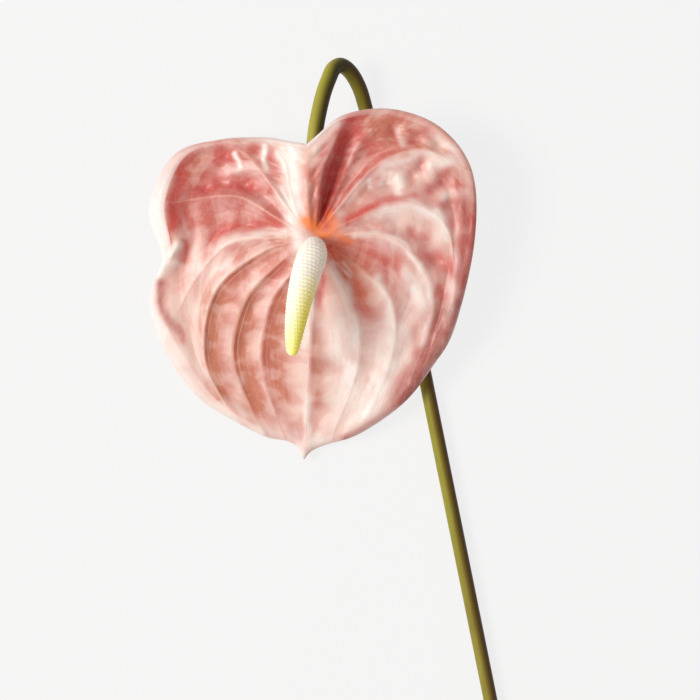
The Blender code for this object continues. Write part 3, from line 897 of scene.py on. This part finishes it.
def fine_relief(points, column_at, lip, shares):
    """Height of the ribs on the crests, the small creases, the pale and deep strokes and the margin's
    ripple.
    """
    out = shares["out"]
    rib = np.exp(-((shares["vein"] / RIB_WIDTH) ** 2)) * smoothstep(*RIB_START, out)
    height = RIB_HEIGHT * rib * (1 - smoothstep(*RIB_END, out))
    for width, fold, *line in CREASES:
        height += fold * np.exp(-((nearest_on(points, line) / width) ** 2))
    height += (1 - lip) * (RELIEF_OF_PALE * shares["pale_and_lit"] - RELIEF_OF_DEEP * shares["deep"])
    around = 2 * math.pi * column_at[:, None] / len(SPATHE_VEINS)
    ripple = sum(share * np.sin(count * around + turned) for share, count, turned in RIPPLES)
    return height + RIPPLE_HEIGHT * ripple * smoothstep(RIPPLE_START, 1.0, out)


def sheet_middle(column_at, ring_at):
    """The spathe's middle surface, whose columns follow its veins, and what its material reads."""
    points, out, lip, roll = rolled_sheet(column_at, ring_at)
    points[:, :, 2] -= trough_depth(column_at, out)
    draw_tip_and_notch(points, column_at, out)
    points[:, :, 2] -= pit_depth(points, roll)
    shares = colour_and_light_shares(points, out)
    # Painted light on the rolled lip, strongest where it faces the light.
    paleness = [LIP_PAINTED_LIGHT.get(name, 0.0) for name, _, _, _ in SPATHE_VEINS]
    shares["lip_light"] = lip * smooth_through(paleness, column_at, closed=True)[:, None]
    points[:, :, 2] += fine_relief(points, column_at, lip, shares)
    return points, shares


def colour_and_light_shares(points, out):
    """What colours each place: strokes of pigment, painted light and shade, crest bands, flow lines."""
    places = wander(points)
    past, ahead, number = walk_between_crests(points)
    rose_and_shade_past = np.zeros_like(out)
    pale_and_lit = np.zeros_like(out)
    line = np.zeros_like(out)
    second = np.zeros_like(out)
    from_crest = PAST_SHADE_AT_CREST + (1 - PAST_SHADE_AT_CREST) * smoothstep(0, PAST_SHADE_RISE, past)
    for index, (_, strength, reach, _, own, beside) in enumerate(CREST_COLOURS):
        _, _, _, paleness, next_own, _ = CREST_COLOURS[(index + 1) % len(CREST_COLOURS)]
        here = number == index
        # Rose past the crest, partly painted shade on the flank turned from the light.
        rose_and_shade_past += here * strength * np.exp(-past / reach) * from_crest
        # Pale before the next crest, partly painted light on the flank facing the light.
        pale_and_lit += here * paleness * np.exp(-ahead / PALE_REACH)
        line += here * np.where(past < ahead, own, next_own)
        second += here * beside
    rose_and_shade_past *= smoothstep(*PAST_SHADE_START, out) * (1 - PAST_SHADE_LOSS * smoothstep(*PAST_SHADE_END, out))
    pale_and_lit *= PALE_BY_CREST * smoothstep(*PALE_START, out)
    line *= smoothstep(*LINE_START, out) * (1 - smoothstep(*LINE_END, out))
    second *= smoothstep(*SECOND_START, out) * (1 - smoothstep(*SECOND_END, out))
    return {
        "out": out,
        "rose": 1 - (1 - paint(places, ROSE_STROKES)) * (1 - rose_and_shade_past),
        "pale_and_lit": 1 - (1 - paint(places, PALE_AND_LIT_STROKES)) * (1 - pale_and_lit),
        # Deep rose, partly painted shade.
        "deep": paint(places, DEEP_AND_SHADE_STROKES),
        "tan": paint(points, TAN_STROKES),
        "orange": paint(places, ORANGE_STROKES),
        # Painted shade.
        "shade_paint": paint(points, PAINTED_SHADE_STROKES),
        "vein": np.minimum(past, ahead),
        "past": past,
        "line": line,
        "second": second,
        "flow_across": number * 3.7 + past / (past + ahead + 0.01),
    }


def sheet_normals(points):
    """Upward normals of a grid of (column, ring) points that closes round its columns."""
    outward = np.gradient(points, axis=1)
    around = np.roll(points, -1, axis=0) - np.roll(points, 1, axis=0)
    normals = np.cross(outward, around)
    normals /= np.linalg.norm(normals, axis=2)[:, :, None]
    normals[:, 0] = (0, 0, 1)
    return normals


def spathe_side(column_at, ring_counts, side):
    """Points and shares, ring by ring, of the spathe's face (side 1) or back (side -1)."""
    face, lip = ring_counts
    ring_at = np.concatenate([np.linspace(0, 1, face), 1 + np.arange(1, lip + 1) / lip])
    middle, shares = sheet_middle(column_at, ring_at)
    thinner = (THICKNESS - RIM_THICKNESS) * smoothstep(*THINNING, shares["out"])
    half = 0.5 * (THICKNESS - thinner)
    points = middle + side * sheet_normals(middle) * half[:, :, None]
    points = points.transpose(1, 0, 2).reshape(-1, 3)
    points[:, 2] = np.maximum(points[:, 2], 0.0)
    return points, {label: values.T.ravel() for label, values in shares.items()}


def flow_vector(tree, across, out):
    """A place on the sheet counted across and along its troughs, stretched by two scales."""
    flow = tree.nodes.new("ShaderNodeCombineXYZ")
    tree.links.new(maths(tree, "MULTIPLY", attribute(tree, "flow_across"), across), flow.inputs["X"])
    tree.links.new(maths(tree, "MULTIPLY", attribute(tree, "out"), out), flow.inputs["Y"])
    return flow.outputs[0]


def skin_pattern(tree):
    """Panels, streaks and clouds of the skin, 0 to 1, and the lines of its fine net."""
    panels = noise(tree, flow_vector(tree, 1, 11), scale=1.4, detail=1.2, distortion=0.3)
    flow = flow_vector(tree, 7, 2.6)
    streaks = noise(tree, flow, scale=1.0, detail=4.0, roughness=0.6, distortion=0.5)
    place = object_place(tree)
    cloud = noise(tree, place, scale=95, detail=2.2, roughness=0.45, distortion=0.5)
    waves = tree.nodes.new("ShaderNodeTexNoise")
    waves.inputs["Scale"].default_value = 160
    tree.links.new(place, waves.inputs["Vector"])
    bend = tree.nodes.new("ShaderNodeVectorMath")
    bend.operation = "MULTIPLY_ADD"
    bend.inputs[1].default_value = (0.006, 0.006, 0.006)
    tree.links.new(waves.outputs["Color"], bend.inputs[0])
    tree.links.new(place, bend.inputs[2])
    net = tree.nodes.new("ShaderNodeTexVoronoi")
    net.feature = "DISTANCE_TO_EDGE"
    net.inputs["Scale"].default_value = 260
    tree.links.new(bend.outputs[0], net.inputs["Vector"])
    return (
        remap(tree, panels, 0.36, 0.62),
        remap(tree, streaks, 0.34, 0.66),
        remap(tree, cloud, 0.28, 0.72),
        remap(tree, net.outputs["Distance"], 0.0, 0.12, 1.0, 0.0),
    )


def crest_lines(tree):
    """The thin pale line on each crest, and the second one beside some of them."""
    own_width, second_width = LINE_WIDTHS
    own = remap(tree, attribute(tree, "vein"), 0.0, own_width, 1.0, 0.0)
    own = maths(tree, "MULTIPLY", own, attribute(tree, "line"))
    away = maths(tree, "ABSOLUTE", maths(tree, "SUBTRACT", attribute(tree, "past"), SECOND_LINE))
    second = remap(tree, away, 0.0, second_width, 1.0, 0.0)
    second = maths(tree, "MULTIPLY", second, attribute(tree, "second"))
    return maths(tree, "MAXIMUM", own, second)


def weighted(tree, first, share, second):
    """Two patterns added, the first by its share and the second by the rest."""
    rest = maths(tree, "MULTIPLY", second, 1 - share)
    return maths(tree, "ADD", maths(tree, "MULTIPLY", first, share), rest)


def spathe_material():
    """Waxy skin with the mesh's pigments, painted light and painted shade in layers, each made uneven by
    streaks and clouds.
    """
    made, tree, shader = new_material("spathe_skin")
    panels, streaks, cloud, lines = skin_pattern(tree)
    weave = weighted(tree, streaks, 0.4, cloud)
    patches = weighted(tree, panels, 0.5, cloud)

    def uneven_layer(name, low, high):
        uneven = remap(tree, weave, 0.1, 0.9, low, high)
        return maths(tree, "MULTIPLY", attribute(tree, name), uneven, clamp=True)

    def faint(strength, most):
        return maths(tree, "MULTIPLY", strength, most)

    spots = remap(tree, patches, 0.2, 0.8, -0.6 * PATCH_STRENGTH, PATCH_STRENGTH)
    rose = maths(tree, "ADD", uneven_layer("rose", 0.75, 1.2), spots, clamp=True)
    skin = mix(tree, rose, SKIN, mix(tree, attribute(tree, "tan"), ROSE, TAN))
    # Deep rose is partly painted shade, pale partly painted light, the lip's paleness is painted light and
    # the dusk is painted shade.
    layers = (
        (uneven_layer("deep", 0.85, 1.2), DEEP_ROSE_AND_SHADE),
        (uneven_layer("pale_and_lit", 0.55, 1.2), PALE_AND_LIT),
        (faint(crest_lines(tree), 0.5), CREST_LINE),
        (faint(attribute(tree, "lip_light"), 0.9), LIT_LIP),
        (uneven_layer("shade_paint", 0.7, 1.1), PAINTED_SHADE_COLOUR),
        (uneven_layer("orange", 0.8, 1.1), ORANGE),
        (faint(lines, 0.05), NET),
        (attribute(tree, "back"), mix(tree, cloud, *BACK_COLOURS)),
    )
    for strength, colour in layers:
        skin = mix(tree, strength, skin, colour)
    tree.links.new(skin, shader.inputs["Base Color"])
    tree.links.new(remap(tree, cloud, 0.0, 1.0, 0.36, 0.46), shader.inputs["Roughness"])
    shader.inputs["Specular IOR Level"].default_value = 0.4
    shader.inputs["Subsurface Weight"].default_value = 0.3
    shader.inputs["Subsurface Scale"].default_value = 0.005
    shader.inputs["Subsurface Radius"].default_value = (1.0, 0.35, 0.25)
    bump(tree, shader, maths(tree, "ADD", lines, maths(tree, "MULTIPLY", cloud, 1.5)), 0.1)
    return made


def build_spathe():
    """The spathe: its face and its back, joined round the edge and closed at the seat."""
    columns = SPATHE_SEGMENTS * len(SPATHE_VEINS)
    column_at = np.arange(columns) / SPATHE_SEGMENTS
    front, front_shares = spathe_side(column_at, FRONT_RINGS, 1)
    back, back_shares = spathe_side(column_at, BACK_RINGS, -1)
    seats = [(0, 0, SEAT_HEIGHT + THICKNESS / 2), (0, 0, SEAT_HEIGHT - THICKNESS / 2)]
    points = np.concatenate([front, back, seats])
    first_back = len(front)
    seat = first_back + len(back)
    faces = grid_faces(sum(FRONT_RINGS), columns)[:, ::-1].tolist()
    faces += (grid_faces(sum(BACK_RINGS), columns) + first_back).tolist()
    faces += cap_faces(0, columns, seat, True).tolist()
    faces += cap_faces(first_back, columns, seat + 1, False).tolist()
    a = np.arange(columns)
    b = (a + 1) % columns
    rim = first_back - columns
    under = seat - columns
    faces += np.stack([rim + b, rim + a, under + a, under + b], axis=-1).tolist()
    attributes = {}
    for label, values in front_shares.items():
        attributes[label] = np.concatenate([values, back_shares[label], [0.0, 0.0]])
    attributes["back"] = np.concatenate([np.zeros(len(front)), np.ones(len(back)), [0.0, 1.0]])
    add_piece("spathe_fine", points, faces, attributes, spathe_material(), "spathe")


# The spadix
def floret_relief(column, row):
    """Height share of the florets at places counted in columns and rows of them, and their middles."""
    apart = []
    for offset in (-1, 0, 1):
        near_row = np.round(row) + offset
        across = (column - near_row) % 2 - 1
        apart.append((across / FLORET_HALF_WIDTH) ** 2 + ((row - near_row) / FLORET_HALF_LENGTH) ** 2)
    nearest = np.minimum.reduce(apart)
    pillow = np.clip(1 - nearest, 0, 1)
    centre = np.exp(-nearest / CENTRE_SPREAD)
    return (1 - CENTRE_SHARE) * pillow + CENTRE_SHARE * centre, pillow, centre


def spadix_material():
    """Matt florets, white at the base and lime at the tip, with painted shade making those on the right
    side yellower and darker.
    """
    made, tree, shader = new_material("spadix_florets")
    along = attribute(tree, "along")
    body = mix(tree, remap(tree, along, 0.35, 0.75), SPADIX_WHITE, SPADIX_CREAM)
    body = mix(tree, remap(tree, along, 0.6, 0.95), body, SPADIX_LIME)
    # Painted shade on the right side, growing from a quarter of the way up.
    shaded_side = maths(tree, "MULTIPLY", attribute(tree, "shaded_side"), remap(tree, along, 0.25, 0.7))
    body = mix(tree, shaded_side, body, SPADIX_SHADED_SIDE)
    groove = mix(tree, 1.0, body, SPADIX_GROOVE, "MULTIPLY")
    skin = mix(tree, remap(tree, attribute(tree, "pillow"), 0.1, 0.75), groove, body)
    skin = mix(tree, maths(tree, "MULTIPLY", attribute(tree, "centre"), 0.35), skin, SPADIX_CENTRE)
    tree.links.new(skin, shader.inputs["Base Color"])
    shader.inputs["Roughness"].default_value = 0.55
    shader.inputs["Subsurface Weight"].default_value = 0.6
    shader.inputs["Subsurface Scale"].default_value = 0.006
    shader.inputs["Subsurface Radius"].default_value = (1.0, 0.9, 0.5)
    return made


def spadix_rings(row_at, column_at, relief):
    """Rings of points up the spadix and over its dome, both ends, and how much painted shade each point
    gets on the right side.
    """
    axis = np.array(SPADIX_AXIS, float) + (0, 0, SEAT_HEIGHT)
    axis[0][2] = SEAT_HEIGHT + THICKNESS / 2 + GAP
    at = even_places(axis, np.minimum(row_at / FLORET_ROWS, 1.0))
    path = smooth_through(axis, at)
    radius = smooth_through(SPADIX_RADII, at)
    last_straight = np.searchsorted(row_at, FLORET_ROWS)
    along, across, up = tube_frames(path[: last_straight + 1])
    lift = 0.5 * math.pi * np.clip((row_at - FLORET_ROWS) / DOME_ROWS, 0, 1)
    fade = smoothstep(*FLORET_START, row_at)
    fade *= 1 - DOME_SMOOTHING * smoothstep(FLORET_ROWS - 1, FLORET_ROWS + DOME_ROWS, row_at)
    rings = []
    shaded_side = []
    for number, row in enumerate(row_at):
        straight = min(number, last_straight)
        turn = 2 * math.pi * (column_at + FLORET_TWIST * row) / FLORET_COLUMNS
        spoke = np.cos(turn)[:, None] * up[straight] + np.sin(turn)[:, None] * across[straight]
        out = radius[number] - FLORET_HEIGHT + FLORET_HEIGHT * relief[number] * fade[number]
        aim = math.cos(lift[number]) * spoke + math.sin(lift[number]) * along[straight]
        ring = path[number] + out[:, None] * aim
        ring[:, 2] = np.maximum(ring[:, 2], axis[0][2] + RING_RISE * number)
        rings.append(ring)
        # Painted shade on the points turned to the right, away from the light.
        shaded_side.append(smoothstep(*SPADIX_SHADE_TURNS, spoke[:, 0]))
    rings[0][:, 2] = axis[0][2]
    peak = path[-1] + along[-1] * (radius[-1] - 0.5 * FLORET_HEIGHT)
    return rings, [path[0], peak], shaded_side


def build_spadix():
    """The spadix: one skin of domed florets round a curved axis, closed at both ends."""
    dome = FLORET_ROWS + DOME_ROWS
    row_at = np.arange(0, dome * ROW_SPLIT) / ROW_SPLIT
    column_at = np.arange(FLORET_COLUMNS * FLORET_SPLIT) / FLORET_SPLIT
    relief, pillow, centre = floret_relief(column_at[None, :], row_at[:, None])
    rings, ends, shaded_side = spadix_rings(row_at, column_at, relief)
    rows = len(rings)
    columns = len(column_at)
    faces = grid_faces(rows, columns).tolist()
    faces += cap_faces(0, columns, rows * columns, False).tolist()
    faces += cap_faces((rows - 1) * columns, columns, rows * columns + 1, True).tolist()
    attributes = {
        "along": np.concatenate([np.repeat(row_at / dome, columns), [0.0, 1.0]]),
        "pillow": np.concatenate([pillow.ravel(), [1.0, 1.0]]),
        "centre": np.concatenate([centre.ravel(), [0.0, 0.0]]),
        "shaded_side": np.concatenate(shaded_side + [[0.0, 0.0]]),
    }
    add_piece("spadix_fine", np.concatenate(rings + [ends]), faces, attributes, spadix_material(), "spadix")


# The studio
def build_floor():
    """A plain white floor that glows softly, so that shadows on it stay faint."""
    bpy.ops.mesh.primitive_plane_add(size=FLOOR_SIZE)
    floor = bpy.context.object
    floor.name = "studio_floor"
    made, _, shader = new_material("studio_white")
    shader.inputs["Base Color"].default_value = (FLOOR_GREY, FLOOR_GREY, FLOOR_GREY, 1.0)
    shader.inputs["Specular IOR Level"].default_value = 0.0
    shader.inputs["Roughness"].default_value = 0.9
    shader.inputs["Emission Color"].default_value = (1.0, 1.0, 1.0, 1.0)
    shader.inputs["Emission Strength"].default_value = FLOOR_GLOW
    floor.data.materials.append(made)


def build_key_light():
    """A large soft light up on the left, turned to the flower's head."""
    head = Vector((SEAT[0] * MM, SEAT[1] * MM, HEAD_HEIGHT))
    data = bpy.data.lights.new("key_left", "AREA")
    data.size = KEY_SIZE
    data.energy = KEY_ENERGY
    data.color = KEY_COLOUR
    lamp = bpy.data.objects.new("key_left", data)
    lamp.location = (head.x + KEY_PLACE[0], head.y + KEY_PLACE[1], KEY_PLACE[2])
    lamp.rotation_euler = (head - lamp.location).to_track_quat("-Z", "Y").to_euler()
    bpy.context.scene.collection.objects.link(lamp)


def build_studio():
    """The floor, the light and the pale air round the flower."""
    build_floor()
    build_key_light()
    world = bpy.data.worlds.new("studio_air")
    world.use_nodes = True
    air = world.node_tree.nodes["Background"]
    air.inputs["Color"].default_value = (*AIR_COLOUR, 1.0)
    air.inputs["Strength"].default_value = AIR_STRENGTH
    bpy.context.scene.world = world
    bpy.context.scene.view_settings.view_transform = "Standard"


def build_camera():
    """The camera straight above the flower, as in the photograph."""
    data = bpy.data.cameras.new("photo_camera")
    data.lens = CAMERA_LENS
    camera = bpy.data.objects.new("photo_camera", data)
    x, y, z = CAMERA_PLACE
    camera.location = ((SEAT[0] + x) * MM, (SEAT[1] + y) * MM, z * MM)
    bpy.context.scene.collection.objects.link(camera)
    bpy.context.scene.camera = camera


build_stem()
build_spathe()
build_spadix()
build_studio()
build_camera()
